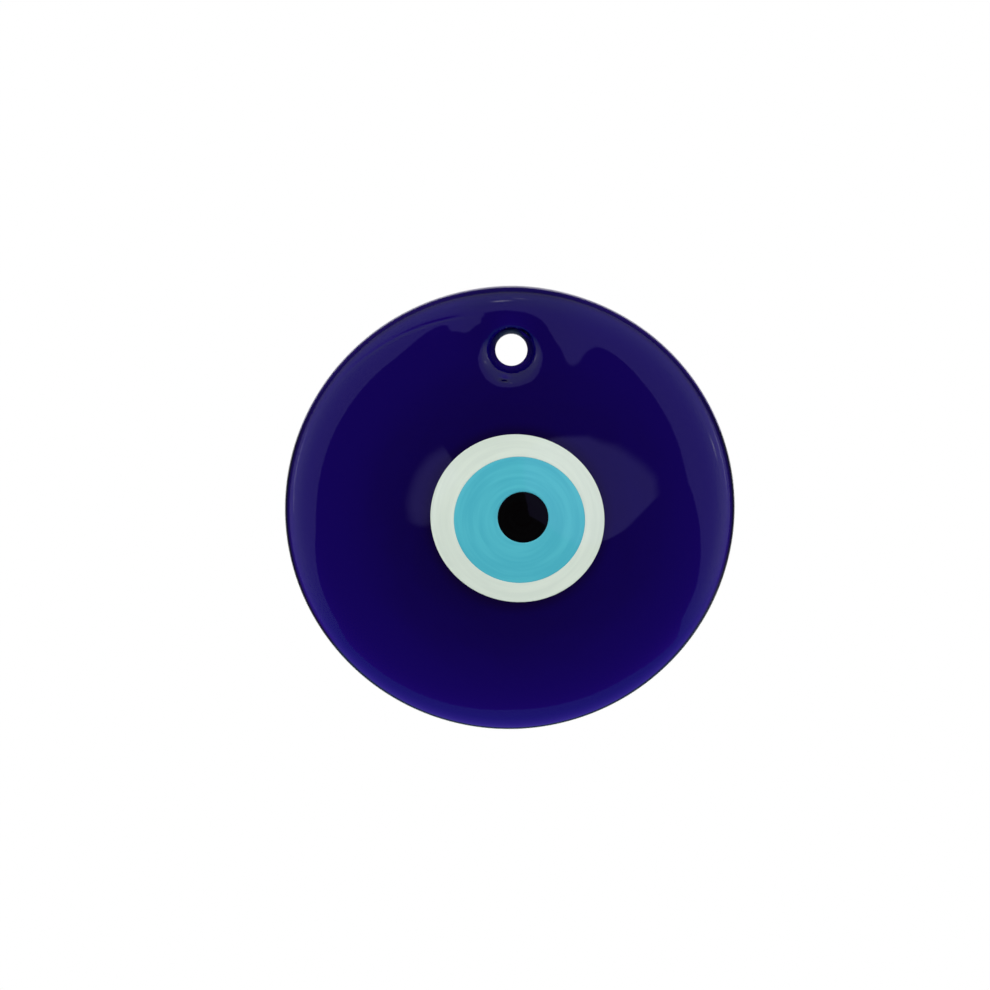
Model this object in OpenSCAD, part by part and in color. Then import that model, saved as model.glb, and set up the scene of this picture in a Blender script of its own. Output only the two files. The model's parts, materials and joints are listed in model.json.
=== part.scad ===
// Evil eye ornament: a poured disc of cobalt glass with three dots of opaque glass melted into its
// front, one on another, and a hole near the top to hang it by.
//
// It stands as it hangs: +Z is up and the front faces -Y. The origin is on the axis of the hanging
// hole, in the plane of the flat back, so the plane Y = 0 is the wall that it hangs against.

/* [Glass disc] */
// Shortest diameter of the disc
disc_d = 88.5; // [80:0.1:100]
// Extra length of its longest diameter
disc_stretch = 1.5; // [0.1:0.1:3]
// Angle from level to the longest diameter, up to the right as seen from the front
disc_tilt = 9; // [-45:1:45]
// Thickness of the glass at the middle
disc_thick = 8.8; // [8.4:0.1:10]
// Height of the mound in the middle above the flat glass around it
mound_rise = 2.4; // [1:0.1:2.6]
// Distance from the middle at which the mound has fallen to about a third of its height
mound_spread = 22.5; // [18:0.5:28]
// Width of the shoulder, over which the front rolls over to the rim
shoulder_wide = 12; // [8:0.5:14]
// Power of the shoulder's curve: a higher one is a flatter front with a tighter rim
shoulder_power = 4; // [3:0.1:5]
// Radius of the rounded edge around the back
back_round = 1.5; // [1:0.1:2]

/* [Hanging hole] */
// Radius of the straight bore
hole_r = 3.2; // [2:0.1:3.6]
// Length of the straight bore, from the back
hole_straight = 3.6; // [2.5:0.1:4]
// Height of the hole's axis above the middle of the disc
hole_up = 31.5; // [28:0.1:32]
// Distance of the hole's axis to the right of the middle of the disc
hole_right = 0.3; // [-2:0.1:2]
// Radius of the curve by which the mouth of the hole opens to the front
mouth_round = 2.4; // [1.8:0.1:2.6]
// Angle from the axis of the hole to the slope around its mouth
mouth_angle = 65; // [50:1:70]

/* [White dot] */
// Shortest diameter
white_d = 33.3; // [30:0.1:36]
// Extra length of its longest diameter
white_stretch = 1.4; // [0.1:0.1:2]
// Angle from level to the longest diameter
white_tilt = -15; // [-45:1:45]
// Distance of its middle to the right of the middle of the disc, and above it
white_at = [1.5, -2.1]; // [-3:0.1:3]
// Depth that it sinks into the disc
white_depth = 2.4; // [2:0.1:3]
// Height that it stands above the disc
white_rise = 0.15; // [0.1:0.01:0.2]

/* [Light blue dot] */
// Shortest diameter
light_d = 25.1; // [20:0.1:26]
// Extra length of its longest diameter
light_stretch = 1; // [0.1:0.1:1.5]
// Angle from level to the longest diameter
light_tilt = -4; // [-45:1:45]
// Distance of its middle to the right of the middle of the white dot, and above it
light_at = [0.4, -0.3]; // [-0.6:0.1:0.6]
// Depth that it sinks below the front of the disc
light_depth = 1.5; // [1.2:0.1:1.8]
// Height that it stands above the disc
light_rise = 0.3; // [0.25:0.01:0.35]

/* [Pupil] */
// Diameter
pupil_d = 10.2; // [8:0.1:14]
// Distance of its middle to the right of the middle of the light blue dot, and above it
pupil_at = [0.7, 0.5]; // [-1:0.1:1]
// Depth that it sinks below the front of the disc
pupil_depth = 0.8; // [0.5:0.1:1]
// Height that it stands above the disc
pupil_rise = 0.45; // [0.4:0.01:0.5]

/* [Hidden] */
disc_r = disc_d / 2;
flat_thick = disc_thick - mound_rise;
back_steps = 6;
shoulder_steps = 18;
mound_steps = 12;
bowl_steps = 12;
mouth_steps = 8;
clear = 3;
$fn = 180;

// Height of the front at a distance from the middle of the disc. The glass has one thickness and a
// mound in the middle, and the shoulder takes it down to the rounded edge.
function glass_at(r) = flat_thick + mound_rise * exp(-pow(r / mound_spread, 2));
function shoulder_at(r) =
    let (across = min((disc_r - r) / shoulder_wide, 1))
    sqrt(1 - pow(1 - across, shoulder_power));
function front_at(r) = back_round + (glass_at(r) - back_round) * shoulder_at(r);

// The disc's half section, as [radius, height]: a flat back, a quarter round edge, the shoulder,
// drawn in steps that widen from the rim inwards, and the mound.
function back_edge(i) =
    let (a = 90 * i / back_steps)
    [disc_r - back_round + back_round * sin(a), back_round - back_round * cos(a)];
function shoulder_curve(i) =
    let (r = disc_r - shoulder_wide * pow(i / shoulder_steps, 2))
    [r, front_at(r)];
function mound_curve(i) =
    let (r = (disc_r - shoulder_wide) * (1 - i / mound_steps))
    [r, front_at(r)];
function disc_section() = concat(
    [[0, 0]],
    [for (i = [0:back_steps]) back_edge(i)],
    [for (i = [1:shoulder_steps]) shoulder_curve(i)],
    [for (i = [1:mound_steps]) mound_curve(i)]);

// A bowl's half section: half an ellipse below the height of its rim, and straight sides that pass
// clear of the front above it.
function bowl_curve(i, r, depth) =
    let (a = 90 * i / bowl_steps)
    [r * sin(a), -depth * cos(a)];
function bowl_section(r, depth, rim) = concat(
    [for (i = [0:bowl_steps]) bowl_curve(i, r, depth) + [0, rim]],
    [[r, rim + clear], [0, rim + clear]]);

// The hanging hole's half section: the straight bore, the curve that opens it, and the slope that
// passes clear of the front.
function mouth_curve(i) =
    let (a = mouth_angle * i / mouth_steps)
    [hole_r + mouth_round * (1 - cos(a)), hole_straight + mouth_round * sin(a)];
function hole_section() =
    let (slope_end = mouth_curve(mouth_steps) + 4 * clear * [sin(mouth_angle), cos(mouth_angle)])
    concat(
        [[0, -clear], [hole_r, -clear]],
        [for (i = [0:mouth_steps]) mouth_curve(i)],
        [slope_end, [0, slope_end[1]]]);

// Stands up what is drawn lying on its back around the middle of the disc, and puts the hole's axis
// through the origin.
module hang() {
    rotate([90, 0, 0])
        translate([-hole_right, -hole_up, 0])
            children();
}

// Turns a half section into an oval solid: two half turns, moved apart by the stretch, and a
// straight length that joins them.
module oval_turn(stretch, tilt) {
    rotate(tilt) {
        for (end = [-90, 90])
            rotate(end)
                translate([0, -stretch / 2, 0])
                    rotate(180)
                        rotate_extrude(angle = 180)
                            children();
        translate([-stretch / 2, 0, 0])
            rotate([90, 0, 90])
                linear_extrude(stretch)
                    for (side = [0, 1])
                        mirror([side, 0])
                            children();
    }
}

// The whole disc without its hole, lifted by an amount.
module front_body(lift) {
    translate([0, 0, lift])
        oval_turn(disc_stretch, disc_tilt)
            polygon(disc_section());
}

// The spaces that the dots take in the glass, open at the top.
module white_bowl() {
    translate(white_at)
        oval_turn(white_stretch, white_tilt)
            polygon(bowl_section(white_d / 2, white_depth, front_at(white_d / 2)));
}

module light_bowl() {
    translate(white_at + light_at)
        oval_turn(light_stretch, light_tilt)
            polygon(bowl_section(light_d / 2, light_depth, front_at(light_d / 2)));
}

module pupil_bowl() {
    translate(white_at + light_at + pupil_at)
        rotate_extrude()
            polygon(bowl_section(pupil_d / 2, pupil_depth, front_at(pupil_d / 2)));
}

module hanging_hole() {
    translate([hole_right, hole_up, 0])
        rotate_extrude()
            polygon(hole_section());
}

// The cobalt glass disc, with the bowl that the dots fill and the hanging hole.
module glass_disc() {
    color([0.07, 0.02, 0.32])
        hang()
            difference() {
                front_body(0);
                white_bowl();
                hanging_hole();
            }
}

// The white glass dot.
module white_dot() {
    color([0.82, 0.87, 0.82])
        hang()
            difference() {
                intersection() {
                    white_bowl();
                    front_body(white_rise);
                }
                light_bowl();
            }
}

// The light blue glass dot, which fills a bowl in the white one.
module light_blue_dot() {
    color([0.3, 0.69, 0.76])
        hang()
            difference() {
                intersection() {
                    light_bowl();
                    front_body(light_rise);
                }
                pupil_bowl();
            }
}

// The black glass pupil, which fills a bowl in the light blue dot.
module pupil() {
    color([0.04, 0.03, 0.03])
        hang()
            intersection() {
                pupil_bowl();
                front_body(pupil_rise);
            }
}

glass_disc();
white_dot();
light_blue_dot();
pupil();
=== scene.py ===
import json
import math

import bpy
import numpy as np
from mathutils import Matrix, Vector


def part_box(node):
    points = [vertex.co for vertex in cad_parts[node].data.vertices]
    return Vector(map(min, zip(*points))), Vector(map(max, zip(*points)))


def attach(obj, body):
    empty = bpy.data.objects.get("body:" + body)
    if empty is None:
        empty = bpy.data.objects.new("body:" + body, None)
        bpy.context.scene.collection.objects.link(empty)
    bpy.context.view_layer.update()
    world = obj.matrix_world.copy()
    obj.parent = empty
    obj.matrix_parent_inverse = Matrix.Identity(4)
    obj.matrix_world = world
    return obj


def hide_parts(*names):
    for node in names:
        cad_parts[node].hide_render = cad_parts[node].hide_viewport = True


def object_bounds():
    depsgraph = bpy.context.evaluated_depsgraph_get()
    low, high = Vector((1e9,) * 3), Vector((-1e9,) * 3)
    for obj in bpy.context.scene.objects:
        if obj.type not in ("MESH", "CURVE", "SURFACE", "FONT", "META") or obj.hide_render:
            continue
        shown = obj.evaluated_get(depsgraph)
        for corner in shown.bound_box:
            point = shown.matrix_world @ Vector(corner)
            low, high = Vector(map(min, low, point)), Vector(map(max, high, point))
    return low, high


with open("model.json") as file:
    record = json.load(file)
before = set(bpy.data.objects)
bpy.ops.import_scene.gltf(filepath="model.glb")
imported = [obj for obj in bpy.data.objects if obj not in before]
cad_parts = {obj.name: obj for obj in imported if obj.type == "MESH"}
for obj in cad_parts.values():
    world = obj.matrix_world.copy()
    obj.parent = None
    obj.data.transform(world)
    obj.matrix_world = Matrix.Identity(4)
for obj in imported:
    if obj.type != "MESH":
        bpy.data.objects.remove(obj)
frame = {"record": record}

# Evil eye ornament: a poured disc of cobalt glass with a white, a light blue and a black dot of
# opaque glass melted into its front. The shapes are worked out in millimetres around the middle
# of the disc, as x to the right, z up and a height above the flat back, and each mesh is then
# placed in the CAD frame in metres, with the back in the plane Y = 0 and the front facing -Y.

cad_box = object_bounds()
MM = 0.001


# ---------------------------------------------------------------- places and sizes from the frame

def flat(point):
    """A point of the CAD frame, in metres, as (x, z) in millimetres."""
    return np.array([point[0], point[2]]) / MM


def middle_of(node):
    low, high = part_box(node)
    return flat((low + high) / 2)


def mount_named(name):
    return next(m for m in frame["record"]["mounts"] if m["name"] == name)


HOLE_MOUNT = mount_named("hanging_hole")
HOLE_R = HOLE_MOUNT["dims"]["r_mm"]
DISC = middle_of("glass_disc")
HOLE = flat(HOLE_MOUNT["pos_m"]) - DISC
WHITE = middle_of("white_dot") - DISC
LIGHT = middle_of("light_blue_dot") - DISC
PUPIL = middle_of("pupil") - DISC


# ---------------------------------------------------------------- the shape of the glass, in mm

# The outline is a circle, drawn out a little along one direction and full beside the hole.
DISC_R = 44.595
DISC_OVAL = 0.365
DISC_TILT = math.radians(8.7)
TOP_BULGE = 0.10
TOP_BULGE_AT = math.radians(88)
TOP_BULGE_SPREAD = math.radians(12)

# The front is glass that thickens a little towards the top, with a lopsided mound under the eye, a
# low swell where the punch pushed glass up from the hole to the rim, and a shoulder that rolls
# over to the rim.
FIELD_THICK = 6.4
WEDGE = 0.008
MOUND_RISE = 2.4
MOUND_SPREAD = 22.5
LEAN = np.array([-0.059, -0.050])
LEAN_SPREAD = 16.6
LEAN_HEART = 10.0
SWELL_RISE = 0.64
SWELL_LEFT = 8.9
SWELL_LEFT_SOFT = 1.4
SWELL_RIGHT = 11.3
SWELL_RIGHT_SOFT = 2.2
SWELL_FOOT = -1.1
SWELL_FOOT_SLANT = -0.13
SWELL_FOOT_SOFT = 3.2
SHOULDER_WIDE = 12.0
SHOULDER_POWER = 4.0
BACK_ROUND = 1.5

# The mouth of the hole is an oval flare, which hangs lower as it widens.
MOUTH_R = 6.7
MOUTH_DEEP = 3.1
MOUTH_POWER = 2.1
MOUTH_SHIFT = np.array([-0.18, -1.7])
HOLE_BACK_ROUND = 0.3

# Two small dents in the mouth, left by the punch: the place from the middle of the hole, the half
# length, the half width, the angle of the length, and the depth.
DENTS = ((2.8, 3.2, 1.4, 0.45, -40, 1.00), (-1.5, -5.85, 1.1, 0.50, -8, 0.90))

# A faint flow line: a shallow groove that winds outwards from beside the hole to the upper left. It
# fades in over a fifth of its length and out over a third.
FLOW_FROM = math.radians(97)
FLOW_TO = math.radians(150)
FLOW_START_R = 38.6
FLOW_END_R = 42.9
FLOW_WIDE = 0.34
FLOW_DEEP = 0.15
FLOW_FADE_IN = 5
FLOW_FADE_OUT = 3

# The back is all but flat, and drawn in where the punch pushed the glass forward.
BACK_WAVE = 0.04
HOLLOW_INSET = 3.5
HOLLOW_EDGE = 3.0
HOLLOW_OF_SWELL = 0.3
PUNCH_HOLLOW = 0.9
PUNCH_SHIFT = np.array([0.0, 3.5])
PUNCH_SPREAD = 3.5


def outline(angle):
    """Radius of the rim at an angle from +x towards +z."""
    turn = (angle - TOP_BULGE_AT + math.pi) % (2 * math.pi) - math.pi
    bulge = TOP_BULGE * np.exp(-((turn / TOP_BULGE_SPREAD) ** 2))
    return DISC_R + DISC_OVAL * np.cos(2 * (angle - DISC_TILT)) + bulge


def shoulder(xz):
    """1 over the flat of the disc, falling to 0 at the rim."""
    angle = np.arctan2(xz[..., 1], xz[..., 0])
    inward = outline(angle) - np.hypot(xz[..., 0], xz[..., 1])
    across = np.clip(inward / SHOULDER_WIDE, 0, 1)
    return np.sqrt(np.clip(1 - (1 - across) ** SHOULDER_POWER, 0, 1))


def distance(xz, centre):
    return np.hypot(xz[..., 0] - centre[0], xz[..., 1] - centre[1])


def step_down(value, soft):
    """Close to 1 well below zero, close to 0 well above it."""
    return 1 / (1 + np.exp(np.clip(value / soft, -40, 40)))


def swell(xz):
    """The glass heaped over the hole, 0 below it and off to both sides."""
    right = xz[..., 0] - HOLE[0]
    foot = SWELL_FOOT + SWELL_FOOT_SLANT * right - (xz[..., 1] - HOLE[1])
    across = step_down(right - SWELL_RIGHT, SWELL_RIGHT_SOFT)
    across = across * step_down(-right - SWELL_LEFT, SWELL_LEFT_SOFT)
    return SWELL_RISE * across * step_down(foot, SWELL_FOOT_SOFT)


def flow_line(xz):
    """Depth of the flow line, faded out at both of its ends."""
    share = (np.arctan2(xz[..., 1], xz[..., 0]) - FLOW_FROM) / (FLOW_TO - FLOW_FROM)
    radius = FLOW_START_R + (FLOW_END_R - FLOW_START_R) * share
    off = (np.hypot(xz[..., 0], xz[..., 1]) - radius) / FLOW_WIDE
    fade = np.clip(FLOW_FADE_IN * share, 0, 1) * np.clip(FLOW_FADE_OUT * (1 - share), 0, 1)
    return FLOW_DEEP * fade * np.exp(-off ** 2)


def front(xz):
    """Height of the front above the back, before the mouth of the hole is sunk into it."""
    apart = distance(xz, WHITE)
    mound = MOUND_RISE * np.exp(-((apart / MOUND_SPREAD) ** 2))
    lean = (xz - WHITE) @ LEAN * np.exp(-((apart / LEAN_SPREAD) ** 2))
    lean = lean * (1 - np.exp(-((apart / LEAN_HEART) ** 2)))
    thick = FIELD_THICK + WEDGE * xz[..., 1] + mound + lean + swell(xz)
    return BACK_ROUND + (thick - BACK_ROUND) * shoulder(xz) - flow_line(xz)


def dents(xz):
    """Depth of the small dents in the mouth of the hole."""
    depth = np.zeros(len(xz))
    for right, up, half_long, half_wide, tilt, deep in DENTS:
        c, s = math.cos(math.radians(tilt)), math.sin(math.radians(tilt))
        off = xz - HOLE - np.array([right, up])
        along = off @ np.array([c, s]) / half_long
        across = off @ np.array([-s, c]) / half_wide
        depth += deep * np.exp(-(along ** 2) - across ** 2)
    return depth


def back(xz):
    """Height of the drawn-in back, 0 at the rim and over most of the disc."""
    angle = np.arctan2(xz[..., 1], xz[..., 0])
    inward = outline(angle) - np.hypot(xz[..., 0], xz[..., 1]) - HOLLOW_INSET
    edge = np.clip(inward / HOLLOW_EDGE, 0, 1)
    punch = PUNCH_HOLLOW * np.exp(-((distance(xz, HOLE + PUNCH_SHIFT) / PUNCH_SPREAD) ** 2))
    return edge ** 2 * (3 - 2 * edge) * (HOLLOW_OF_SWELL * swell(xz) + punch)


# ---------------------------------------------------------------- rings and meshes

def circle_points(centre, radius, angles):
    """Points around a centre, at one radius or at a radius for each angle."""
    return centre + np.stack([radius * np.cos(angles), radius * np.sin(angles)], -1)


def ring(xz, height):
    """A ring of points as x, z and height."""
    return np.column_stack([xz, np.broadcast_to(height, len(xz))])


def ring_mesh(name, rings, closed):
    """A mesh of square faces between one ring and the next. A closed one joins the last ring to
    the first, and an open one is capped at both ends with a point. Known fault: the faces are
    wound inside out."""
    count = len(rings[0])
    points = [row for one in rings for row in one]
    faces = []
    steps = len(rings) if closed else len(rings) - 1
    for i in range(steps):
        here = i * count
        there = ((i + 1) % len(rings)) * count
        for j in range(count):
            k = (j + 1) % count
            faces.append((here + j, here + k, there + k, there + j))
    if not closed:
        for base, flip in ((0, True), ((len(rings) - 1) * count, False)):
            tip = len(points)
            points.append(np.mean(points[base:base + count], axis=0))
            for j in range(count):
                k = (j + 1) % count
                faces.append((tip, base + k, base + j) if flip else (tip, base + j, base + k))
    x, z, height = np.array(points).T
    placed = np.stack([x + DISC[0], -height, z + DISC[1]], -1) * MM
    mesh = bpy.data.meshes.new(name)
    mesh.from_pydata(placed.tolist(), [], faces)
    mesh.validate()
    mesh.shade_smooth()
    piece = bpy.data.objects.new(name, mesh)
    bpy.context.scene.collection.objects.link(piece)
    return piece


def stand_in_for(piece, node, material):
    """Puts the piece in the place of its CAD node."""
    piece.data.materials.append(material)
    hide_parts(node)
    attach(piece, "root")
    return piece


# ---------------------------------------------------------------- the glass disc

DISC_STEPS = 420
WALL_RINGS = 6
MOUTH_RINGS = 26
FIELD_RINGS = 84
RIM_RINGS = 70
RIM_WIDE = 6.0
UNDER_RINGS = 8
REAR_RINGS = 60
REAR_EDGE_RINGS = 4


def disc_rings():
    """Rings in order from the back of the hole, through it, over the front and around to it."""
    angles = np.linspace(0, 2 * math.pi, DISC_STEPS, endpoint=False)
    rim = circle_points(np.zeros(2), outline(angles), angles)
    inward = -rim / np.linalg.norm(rim, axis=1)[:, None]

    mouth = []
    for share in np.linspace(0, 1, MOUTH_RINGS):
        centre = HOLE + MOUTH_SHIFT * share
        xz = circle_points(centre, HOLE_R + (MOUTH_R - HOLE_R) * share, angles)
        sunk = MOUTH_DEEP * (1 - share) ** MOUTH_POWER + dents(xz) * (1 - share)
        mouth.append(ring(xz, front(xz) - sunk))

    wall = []
    xz = mouth[0][:, :2]
    foot = back(xz) + HOLE_BACK_ROUND
    for share in np.linspace(0, 1, WALL_RINGS, endpoint=False):
        wall.append(ring(xz, foot + (mouth[0][:, 2] - foot) * share))

    field = []
    start = mouth[-1][:, :2]
    end = rim + inward * RIM_WIDE
    for share in np.linspace(0, 1, FIELD_RINGS + 2)[1:-1]:
        xz = start + (end - start) * share
        field.append(ring(xz, front(xz)))

    edge = []
    for share in np.linspace(1, 0, RIM_RINGS):
        xz = rim + inward * RIM_WIDE * share ** 2
        edge.append(ring(xz, front(xz)))

    under = []
    for c in np.linspace(0, math.pi / 2, UNDER_RINGS + 1)[1:]:
        xz = rim + inward * BACK_ROUND * (1 - math.cos(c))
        under.append(ring(xz, BACK_ROUND * (1 - math.sin(c))))

    rear = []
    start = under[-1][:, :2]
    end = circle_points(HOLE, HOLE_R + HOLE_BACK_ROUND, angles)
    for share in np.linspace(0, 1, REAR_RINGS + 2)[1:-1]:
        xz = start + (end - start) * share
        rear.append(ring(xz, back(xz) + BACK_WAVE * math.sin(math.pi * share) ** 2))

    rear_edge = []
    for c in np.linspace(0, math.pi / 2, REAR_EDGE_RINGS + 1)[:-1]:
        xz = circle_points(HOLE, HOLE_R + HOLE_BACK_ROUND * (1 - math.sin(c)), angles)
        rear_edge.append(ring(xz, back(xz) + HOLE_BACK_ROUND * (1 - math.cos(c))))
    return wall + mouth + field + edge + under + rear + rear_edge


# ---------------------------------------------------------------- the dots

DOT_STEPS = 240
TOP_RINGS = 24
LIP_RINGS = 6
BOWL_RINGS = 24
LIP_ROUND = 0.30
FUSED = 0.05
CENTRE_SCALE = 0.02
CUTTER_RISE = 2
SHARP_ANGLE = math.radians(40)


def oval(centre, half_long, half_short, tilt, scale, angles):
    """Points around an oval, drawn in or out by a scale."""
    along = half_long * scale * np.cos(angles)
    across = half_short * scale * np.sin(angles)
    c, s = math.cos(tilt), math.sin(tilt)
    return centre + np.stack([along * c - across * s, along * s + across * c], -1)


class Dot:
    """An oval drop of glass: where it lies, how deep it sinks, and how high it stands at its lip
    and over its middle."""

    def __init__(self, centre, half_long, half_short, tilt, deep, rise, dome=0.0):
        self.centre = centre
        self.half_long = half_long
        self.half_short = half_short
        self.tilt = math.radians(tilt)
        self.deep = deep
        self.rise = rise
        self.dome = dome

    def around(self, inset, share, angles):
        return oval(self.centre, self.half_long - inset, self.half_short - inset,
                    self.tilt, share, angles)

    def bowl(self, angles, inset=0.0):
        """Rings of its underside, from the rim to near the lowest point."""
        rings = []
        rim = front(self.around(inset, 1, angles))
        for a in np.linspace(0, math.pi / 2, BOWL_RINGS + 1)[:-1]:
            xz = self.around(inset, math.cos(a), angles)
            rings.append(ring(xz, rim - (self.deep - inset) * math.sin(a)))
        return rings

    def top(self, angles, inner):
        """Rings of its face, from the rim of the dot inside it, or its middle, to its own lip."""
        outer = self.around(LIP_ROUND, 1, angles)
        rings = []
        for share in np.linspace(0, 1, TOP_RINGS):
            xz = inner + (outer - inner) * share
            rings.append(ring(xz, front(xz) + self.rise + self.dome * (1 - share ** 2)))
        for a in np.linspace(0, math.pi / 2, LIP_RINGS + 1)[1:]:
            xz = self.around(LIP_ROUND * (1 - math.sin(a)), 1, angles)
            rings.append(ring(xz, front(xz) + self.rise * math.cos(a)))
        return rings


WHITE_DOT = Dot(WHITE, 17.34, 16.63, tilt=-15, deep=2.4, rise=0.10)
LIGHT_DOT = Dot(LIGHT, 13.09, 12.58, tilt=-4, deep=1.5, rise=0.17)
PUPIL_DOT = Dot(PUPIL, 5.10, 5.10, tilt=0, deep=0.8, rise=0.22, dome=0.11)


def ring_around_dot(dot, inner):
    """Rings of a dot that holds another: up out of its pocket, over its face and down below."""
    angles = np.linspace(0, 2 * math.pi, DOT_STEPS, endpoint=False)
    pocket = inner.bowl(angles, FUSED)[::-1]
    rim = pocket[-1][:, :2]
    lip = ring(rim, front(rim) + dot.rise)
    return pocket + [lip] + dot.top(angles, rim)[1:] + dot.bowl(angles)[1:]


def ring_of_dot(dot):
    """Rings of a dot that holds nothing."""
    angles = np.linspace(0, 2 * math.pi, DOT_STEPS, endpoint=False)
    start = dot.around(0, CENTRE_SCALE, angles)
    return dot.top(angles, start) + dot.bowl(angles)[1:]


def cut_pocket(piece, dot):
    """Meant to cut the dot's bowl into the glass, a little inside the dot, to fuse the two. Known
    fault: both meshes are wound inside out, so nothing is cut away and the dot lies inside solid
    glass. The step still turns the faces of the glass outwards, as clear glass needs."""
    angles = np.linspace(0, 2 * math.pi, DOT_STEPS, endpoint=False)
    bowl = dot.bowl(angles, FUSED)
    lid = bowl[0].copy()
    lid[:, 2] += CUTTER_RISE
    cutter = ring_mesh("pocket_cutter", [lid] + bowl, closed=False)
    cut = piece.modifiers.new("pocket", "BOOLEAN")
    cut.operation = "DIFFERENCE"
    cut.solver = "EXACT"
    cut.object = cutter
    bpy.context.view_layer.objects.active = piece
    bpy.ops.object.modifier_apply(modifier=cut.name)
    bpy.data.objects.remove(cutter)
    piece.data.set_sharp_from_angle(angle=SHARP_ANGLE)


# ---------------------------------------------------------------- materials

GLASS_IOR = 1.51
NOISE_DETAIL = 3.0

# The cobalt glass: its colour by depth and how fast it deepens, a painted shade in a narrow ring
# around the white dot, a wider painted shade that darkens the glass near the dot and fades out
# towards the rim, the soft clouds over the middle, and the dull edge of the punched hole. Lengths
# are in mm, and the density is per metre.
DEPTH_COLOUR = (0.31, 0.08, 0.719, 1)
DEPTH_DENSITY = 1300
# Painted shade: the colour the glass is darkened to in a narrow ring around the white dot, how far
# past the dot's edge the ring reaches, and how steeply it falls off.
PAINTED_RING_SHADE = (0.60, 0.50, 0.50, 1)
RING_SHADE_WIDE = 3.5
RING_SHADE_FALL = 1.6
# Painted shade over the middle: both cloud colours are darker than the third colour, the unshaded
# glass, which takes over between the two distances from the white dot. The spread between the two
# cloud colours is the glass's own mottling.
CLOUDED_AND_SHADED = (0.85, 0.85, 0.85, 1)
SHADED_MIDDLE = (0.92, 0.92, 0.92, 1)
UNSHADED_GLASS = (1, 1, 1, 1)
SHADE_FADES_FROM = 26.0
SHADE_GONE_AT = 36.0
CLOUD_SIZE = 9.0
CLOUD_STRETCH = 2.0
CLOUD_EDGES = (0.30, 0.70)
PUNCHED_ROUGH = 0.35
PUNCHED_FROM = 1.5
PUNCHED_FULL = 0.7

# The opaque glass: a paler and a deeper colour for each dot, and the streaks between them.
WHITE_PALE = (0.69, 0.80, 0.67, 1)
WHITE_DEEP = (0.64, 0.75, 0.63, 1)
LIGHT_PALE = (0.085, 0.50, 0.57, 1)
LIGHT_DEEP = (0.068, 0.445, 0.53, 1)
BLACK_PALE = (0.0008, 0.0014, 0.0014, 1)
BLACK_DEEP = (0.0003, 0.0006, 0.0006, 1)
STREAK_SIZE = 16.0
STREAK_STRETCH = 14.0
STREAK_EDGES = (0.35, 0.68)
OPAQUE_ROUGH = 0.05
DOT_SHEEN = 0.5
PUPIL_SHEEN = 0.14


class Nodes:
    """Short calls for making and joining shader nodes."""

    def __init__(self, tree):
        self.tree = tree
        tree.nodes.clear()

    def add(self, kind, **values):
        node = self.tree.nodes.new(kind)
        for key, value in values.items():
            setattr(node, key, value)
        return node

    def join(self, source, target):
        self.tree.links.new(source, target)

    def put(self, socket, value):
        """Gives a socket a number, a colour or another node's output."""
        if isinstance(value, bpy.types.NodeSocket):
            self.join(value, socket)
        else:
            socket.default_value = value

    def math(self, operation, a, b=0.0, clamp=False):
        node = self.add("ShaderNodeMath", operation=operation, use_clamp=clamp)
        self.put(node.inputs[0], a)
        self.put(node.inputs[1], b)
        return node.outputs[0]

    def ease(self, value, low, high):
        """0 below low, 1 above high, and a smooth step between."""
        node = self.add("ShaderNodeMapRange", interpolation_type="SMOOTHSTEP")
        self.put(node.inputs["Value"], value)
        self.put(node.inputs["From Min"], low)
        self.put(node.inputs["From Max"], high)
        return node.outputs["Result"]

    def mix(self, share, a, b):
        node = self.add("ShaderNodeMix", data_type="RGBA")
        self.put(node.inputs["Factor"], share)
        self.put(node.inputs[6], a)
        self.put(node.inputs[7], b)
        return node.outputs[2]


def new_material(name):
    material = bpy.data.materials.new(name)
    material.use_nodes = True
    return material, Nodes(material.node_tree)


def around_dot(n, centre):
    """Distances from the middle of a dot or the hole, in mm: to the right, up and straight."""
    place = n.add("ShaderNodeTexCoord")
    parts = n.add("ShaderNodeSeparateXYZ")
    n.join(place.outputs["Object"], parts.inputs[0])
    middle = DISC + centre
    right = n.math("SUBTRACT", n.math("DIVIDE", parts.outputs["X"], MM), middle[0])
    up = n.math("SUBTRACT", n.math("DIVIDE", parts.outputs["Z"], MM), middle[1])
    straight = n.math("SQRT", n.math("ADD", n.math("MULTIPLY", right, right),
                                     n.math("MULTIPLY", up, up)))
    return right, up, straight


def cloud(n, right, up, along, size):
    """Noise over the face of the glass, drawn out along a third distance."""
    place = n.add("ShaderNodeCombineXYZ")
    n.put(place.inputs[0], right)
    n.put(place.inputs[1], up)
    n.put(place.inputs[2], along)
    noise = n.add("ShaderNodeTexNoise")
    noise.inputs["Scale"].default_value = 1 / size
    noise.inputs["Detail"].default_value = NOISE_DETAIL
    n.join(place.outputs[0], noise.inputs["Vector"])
    return noise.outputs[0]


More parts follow.
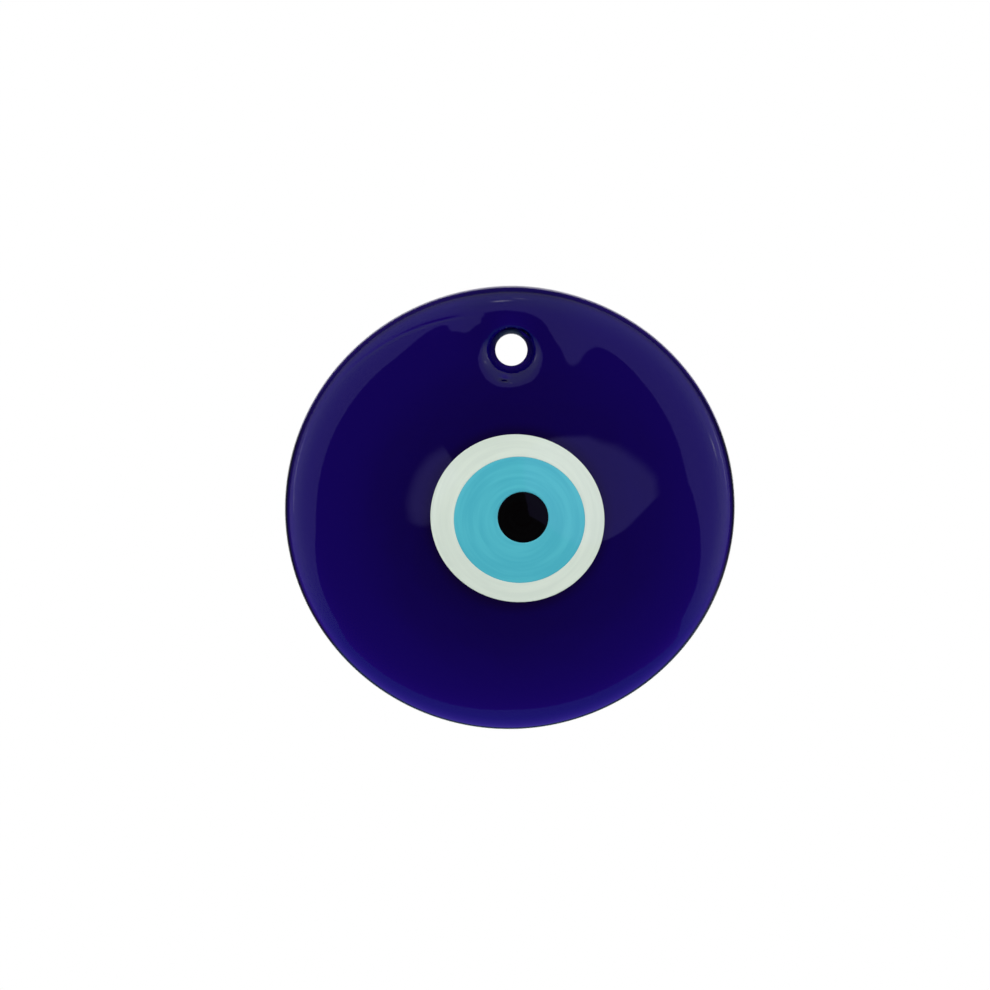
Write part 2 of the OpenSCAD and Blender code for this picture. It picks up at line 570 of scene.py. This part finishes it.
def cobalt_glass():
    """Clear dark blue glass that takes its colour from its depth. It is faintly clouded, and has
    painted shade that darkens it within some way of the white dot, most in a narrow ring right
    around it, so that it is palest near the rim. It is dull where the punch went through."""
    material, n = new_material("cobalt_glass")
    output = n.add("ShaderNodeOutputMaterial")
    shader = n.add("ShaderNodeBsdfPrincipled")
    right, up, straight = around_dot(n, WHITE)
    past = n.math("SUBTRACT", straight, WHITE_DOT.half_short)
    # Painted shade: a narrow dark ring in the glass just outside the white dot.
    ring_shade = n.math("POWER", n.ease(past, RING_SHADE_WIDE, 0.0), RING_SHADE_FALL)
    # Painted shade: the glass is darker out to some way from the white dot and paler towards the
    # rim; the clouds within it are the glass's own mottling.
    out_of_shade = n.ease(straight, SHADE_FADES_FROM, SHADE_GONE_AT)
    around = n.math("MULTIPLY", straight, CLOUD_STRETCH)
    clouds = n.ease(cloud(n, right, up, around, CLOUD_SIZE), *CLOUD_EDGES)
    clouds_and_shade = n.mix(out_of_shade, n.mix(clouds, CLOUDED_AND_SHADED, SHADED_MIDDLE), UNSHADED_GLASS)
    n.put(shader.inputs["Base Color"], n.mix(ring_shade, clouds_and_shade, PAINTED_RING_SHADE))
    from_hole = around_dot(n, HOLE)[2]
    punched = n.ease(from_hole, HOLE_R + PUNCHED_FROM, HOLE_R + PUNCHED_FULL)
    n.put(shader.inputs["Roughness"], n.math("MULTIPLY", punched, PUNCHED_ROUGH))
    shader.inputs["IOR"].default_value = GLASS_IOR
    shader.inputs["Transmission Weight"].default_value = 1.0
    depth = n.add("ShaderNodeVolumeAbsorption")
    depth.inputs["Color"].default_value = DEPTH_COLOUR
    depth.inputs["Density"].default_value = DEPTH_DENSITY
    n.join(shader.outputs["BSDF"], output.inputs["Surface"])
    n.join(depth.outputs["Volume"], output.inputs["Volume"])
    return material


def opaque_glass(name, pale, deep, centre, sheen):
    """Opaque glass, stirred into faint streaks around the middle of its dot."""
    material, n = new_material(name)
    output = n.add("ShaderNodeOutputMaterial")
    shader = n.add("ShaderNodeBsdfPrincipled")
    right, up, straight = around_dot(n, centre)
    around = n.math("MULTIPLY", straight, STREAK_STRETCH)
    share = n.ease(cloud(n, right, up, around, STREAK_SIZE), *STREAK_EDGES)
    n.put(shader.inputs["Base Color"], n.mix(share, deep, pale))
    shader.inputs["Roughness"].default_value = OPAQUE_ROUGH
    shader.inputs["Specular IOR Level"].default_value = sheen
    shader.inputs["IOR"].default_value = GLASS_IOR
    n.join(shader.outputs["BSDF"], output.inputs["Surface"])
    return material


# ---------------------------------------------------------------- the studio

# The soft boxes stand around the camera's side with a dark opening between them, which is what
# the flat of the glass mirrors. A direction is told by its azimuth around the camera's axis, from
# +X towards +Z, and by its reach: the tangent of half its angle from that axis. This is also the
# slope of the surface that mirrors it to the front.
OPENING = (
    (0, 0.051), (6, 0.048), (13, 0.048), (26, 0.049), (38, 0.054), (49, 0.067), (62, 0.085),
    (75, 0.130), (84, 0.180), (92, 0.208), (102, 0.200), (110, 0.192), (116, 0.155), (122, 0.110),
    (129, 0.090), (141, 0.093), (153, 0.098), (172, 0.108), (182, 0.116), (190, 0.133), (205, 0.285),
    (215, 0.35), (222, 0.48), (235, 0.435), (270, 0.305), (285, 0.327), (305, 0.400), (320, 0.60),
    (325, 0.325), (335, 0.255), (345, 0.139), (354, 0.074), (360, 0.051),
)
OPENING_SOFT = 0.045
OPENING_DARK = (0.09, 0.03, 0.05, 1)
BOX_NEAR = (0.33, 0.25, 0.65, 1)
BOX_FAR = (0.42, 0.42, 0.30, 1)
LOW_NEAR = (0.18, 0.17, 0.62, 1)
LOW_FAR = (0.06, 0.14, 0.20, 1)
BOX_FADE = (0.12, 0.65)
GAP_START = 1.05
GAP_FADE = 0.25
GAP = (0.03, 0.03, 0.05, 1)

# The backdrop behind the glass: the reach where it begins and, level with the camera, where it is
# full, and how much sooner that is straight above, or later straight below.
BACKDROP = (1, 1, 1, 1)
BACKDROP_START = 2.2
BACKDROP_FULL = 5.2
BACKDROP_LIFT = 2.5

# Where the low boxes, and the part of them without a gap, come in and go out around the opening.
# Each pair is the azimuth, in turns, where there is none and where there is all of it.
LOW_BEGIN = (0.52, 0.62)
LOW_WHOLE = (0.600, 0.618)
LOW_END = (0.98, 0.88)

# Each lamp: its place as right and up, its half width and half height, and its brightness.
LAMPS = (
    (-0.80, 0.17, 0.08, 0.22, 0.9), (0.84, 0.22, 0.08, 0.30, 1.0), (-0.03, 0.48, 0.04, 0.04, 3.2),
    (0.03, 0.60, 0.04, 0.04, 1.2), (-0.74, 0.02, 0.05, 0.07, 0.8), (0.52, 0.15, 0.05, 0.05, 1.6),
    (0.65, 0.02, 0.45, 0.55, 0.20), (-0.65, 0.10, 0.40, 0.50, 0.12),
)


def direction_parts(n):
    """The parts of a direction that the studio is laid out by: right, up, reach and azimuth."""
    place = n.add("ShaderNodeTexCoord")
    parts = n.add("ShaderNodeSeparateXYZ")
    n.join(place.outputs["Generated"], parts.inputs[0])
    depth = n.math("MAXIMUM", n.math("SUBTRACT", 1.0, parts.outputs["Y"]), 1e-6)
    right = n.math("DIVIDE", parts.outputs["X"], depth)
    up = n.math("DIVIDE", parts.outputs["Z"], depth)
    height = n.math("ADD", 1.0, parts.outputs["Y"])
    reach = n.math("SQRT", n.math("MAXIMUM", n.math("DIVIDE", height, depth), 0.0))
    turn = n.math("DIVIDE", n.math("ARCTAN2", parts.outputs["Z"], parts.outputs["X"]), 2 * math.pi)
    azimuth = n.math("FRACT", n.math("ADD", turn, 1.0))
    return right, up, reach, azimuth


def opening_edge(n, azimuth):
    """How far the dark opening reaches at an azimuth."""
    edge = n.add("ShaderNodeFloatCurve")
    curve = edge.mapping.curves[0]
    curve.points[0].location = (0, OPENING[0][1])
    curve.points[1].location = (1, OPENING[-1][1])
    for degrees, limit in OPENING[1:-1]:
        curve.points.new(degrees / 360, limit)
    for point in curve.points:
        point.handle_type = "VECTOR"
    edge.mapping.update()
    n.put(edge.inputs["Value"], azimuth)
    return edge.outputs["Value"]


def lamp_glow(n, right, up, colour):
    """Adds the small bright lamps in the soft boxes to a colour."""
    for lamp_right, lamp_up, half_wide, half_high, power in LAMPS:
        off_right = n.math("DIVIDE", n.math("SUBTRACT", right, lamp_right), half_wide)
        off_up = n.math("DIVIDE", n.math("SUBTRACT", up, lamp_up), half_high)
        off = n.math("SQRT", n.math("ADD", n.math("MULTIPLY", off_right, off_right),
                                    n.math("MULTIPLY", off_up, off_up)))
        spot = n.math("MULTIPLY", n.ease(off, 1.0, 0.0), power)
        glow = n.add("ShaderNodeMix", data_type="RGBA", blend_type="ADD")
        glow.inputs["Factor"].default_value = 1.0
        n.put(glow.inputs[6], colour)
        n.put(glow.inputs[7], spot)
        colour = glow.outputs[2]
    return colour


def studio_world():
    """Soft boxes, opening and backdrop, as a world. The camera itself sees only the backdrop."""
    world = bpy.data.worlds.new("studio")
    bpy.context.scene.world = world
    world.use_nodes = True
    n = Nodes(world.node_tree)
    output = n.add("ShaderNodeOutputWorld")
    right, up, reach, azimuth = direction_parts(n)
    outward = n.ease(reach, *BOX_FADE)
    below = n.math("MULTIPLY", n.ease(azimuth, *LOW_BEGIN), n.ease(azimuth, *LOW_END))
    boxes = n.mix(below, n.mix(outward, BOX_NEAR, BOX_FAR), n.mix(outward, LOW_NEAR, LOW_FAR))
    ratio = n.math("DIVIDE", reach, opening_edge(n, azimuth))
    lit = n.ease(ratio, 1 - OPENING_SOFT, 1 + OPENING_SOFT)
    colour = n.mix(lit, OPENING_DARK, boxes)
    low = n.math("MULTIPLY", n.ease(azimuth, *LOW_WHOLE), n.ease(azimuth, *LOW_END))
    in_gap = n.math("MULTIPLY", n.ease(reach, GAP_START, GAP_START + GAP_FADE),
                    n.math("SUBTRACT", 1.0, low))
    colour = n.mix(in_gap, colour, GAP)
    colour = lamp_glow(n, right, up, colour)
    lift = n.math("SINE", n.math("MULTIPLY", azimuth, 2 * math.pi))
    full = n.math("SUBTRACT", BACKDROP_FULL, n.math("MULTIPLY", lift, BACKDROP_LIFT))
    behind = n.ease(reach, BACKDROP_START, full)
    studio = n.add("ShaderNodeBackground")
    n.put(studio.inputs["Color"], n.mix(behind, colour, BACKDROP))
    seen = n.add("ShaderNodeBackground")
    seen.inputs["Color"].default_value = BACKDROP
    ray = n.add("ShaderNodeLightPath")
    both = n.add("ShaderNodeMixShader")
    n.join(ray.outputs["Is Camera Ray"], both.inputs[0])
    n.join(studio.outputs[0], both.inputs[1])
    n.join(seen.outputs[0], both.inputs[2])
    n.join(both.outputs[0], output.inputs["Surface"])


LIGHT_TARGET = (0, 0, -0.03)
LIGHT_SIZE = 0.8


def soft_light(name, place, watts):
    """A soft light for the opaque glass and the floor, which leaves no image in the glass."""
    data = bpy.data.lights.new(name, "AREA")
    data.shape = "SQUARE"
    data.size = LIGHT_SIZE
    data.energy = watts
    lamp = bpy.data.objects.new(name, data)
    lamp.location = place
    facing = Vector(LIGHT_TARGET) - Vector(place)
    lamp.rotation_euler = facing.to_track_quat("-Z", "Y").to_euler()
    lamp.visible_camera = False
    lamp.visible_glossy = False
    lamp.visible_transmission = False
    bpy.context.scene.collection.objects.link(lamp)


FLOOR_DROP = 0.12
FLOOR_HALF = 0.45
FLOOR_COLOUR = (0.86, 0.86, 0.86, 1)
FLOOR_ROUGH = 0.8


def floor(low):
    """A plain pale floor some way below the hanging ornament, which shows only from above."""
    material, n = new_material("floor")
    output = n.add("ShaderNodeOutputMaterial")
    pale = n.add("ShaderNodeBsdfPrincipled")
    pale.inputs["Base Color"].default_value = FLOOR_COLOUR
    pale.inputs["Roughness"].default_value = FLOOR_ROUGH
    clear = n.add("ShaderNodeBsdfTransparent")
    side = n.add("ShaderNodeNewGeometry")
    both = n.add("ShaderNodeMixShader")
    n.join(side.outputs["Backfacing"], both.inputs[0])
    n.join(pale.outputs[0], both.inputs[1])
    n.join(clear.outputs[0], both.inputs[2])
    n.join(both.outputs[0], output.inputs["Surface"])
    mesh = bpy.data.meshes.new("floor")
    z = low - FLOOR_DROP
    corners = [(-FLOOR_HALF, -FLOOR_HALF, z), (FLOOR_HALF, -FLOOR_HALF, z),
               (FLOOR_HALF, FLOOR_HALF, z), (-FLOOR_HALF, FLOOR_HALF, z)]
    mesh.from_pydata(corners, [], [(0, 1, 2, 3)])
    mesh.materials.append(material)
    plane = bpy.data.objects.new("floor", mesh)
    plane.visible_glossy = False
    bpy.context.scene.collection.objects.link(plane)


CAMERA_AWAY = 1.2
FRAME_WIDE = 0.198
SENSOR_WIDE = 36
AIM_FROM_MIDDLE = Vector((-0.00296, 0, 0.00253))


def camera():
    """Straight in front of the disc, from far enough away to show it almost without depth."""
    data = bpy.data.cameras.new("camera")
    data.sensor_width = SENSOR_WIDE
    data.lens = data.sensor_width * CAMERA_AWAY / FRAME_WIDE
    cam = bpy.data.objects.new("camera", data)
    aim = Vector((DISC[0] * MM, 0, DISC[1] * MM)) + AIM_FROM_MIDDLE
    cam.location = aim + Vector((0, -CAMERA_AWAY, 0))
    cam.rotation_euler = (math.pi / 2, 0, 0)
    bpy.context.scene.collection.objects.link(cam)
    bpy.context.scene.camera = cam


# ---------------------------------------------------------------- making it

def make_ornament():
    disc = ring_mesh("cobalt_disc", disc_rings(), closed=True)
    cut_pocket(disc, WHITE_DOT)
    stand_in_for(disc, "glass_disc", cobalt_glass())

    white = ring_mesh("white_dot_glass", ring_around_dot(WHITE_DOT, LIGHT_DOT), closed=False)
    white_glass = opaque_glass("white_glass", WHITE_PALE, WHITE_DEEP, WHITE, DOT_SHEEN)
    stand_in_for(white, "white_dot", white_glass)

    light = ring_mesh("light_blue_dot_glass", ring_around_dot(LIGHT_DOT, PUPIL_DOT), closed=False)
    light_glass = opaque_glass("light_blue_glass", LIGHT_PALE, LIGHT_DEEP, LIGHT, DOT_SHEEN)
    stand_in_for(light, "light_blue_dot", light_glass)

    pupil = ring_mesh("pupil_glass", ring_of_dot(PUPIL_DOT), closed=False)
    black_glass = opaque_glass("black_glass", BLACK_PALE, BLACK_DEEP, PUPIL, PUPIL_SHEEN)
    stand_in_for(pupil, "pupil", black_glass)


bpy.context.scene.view_settings.view_transform = "Standard"
camera()
make_ornament()
studio_world()
floor(cad_box[0].z)
soft_light("key_light", (-0.5, -1.0, 0.7), 7.5)
soft_light("fill_light", (0.6, -1.0, 0.3), 5)
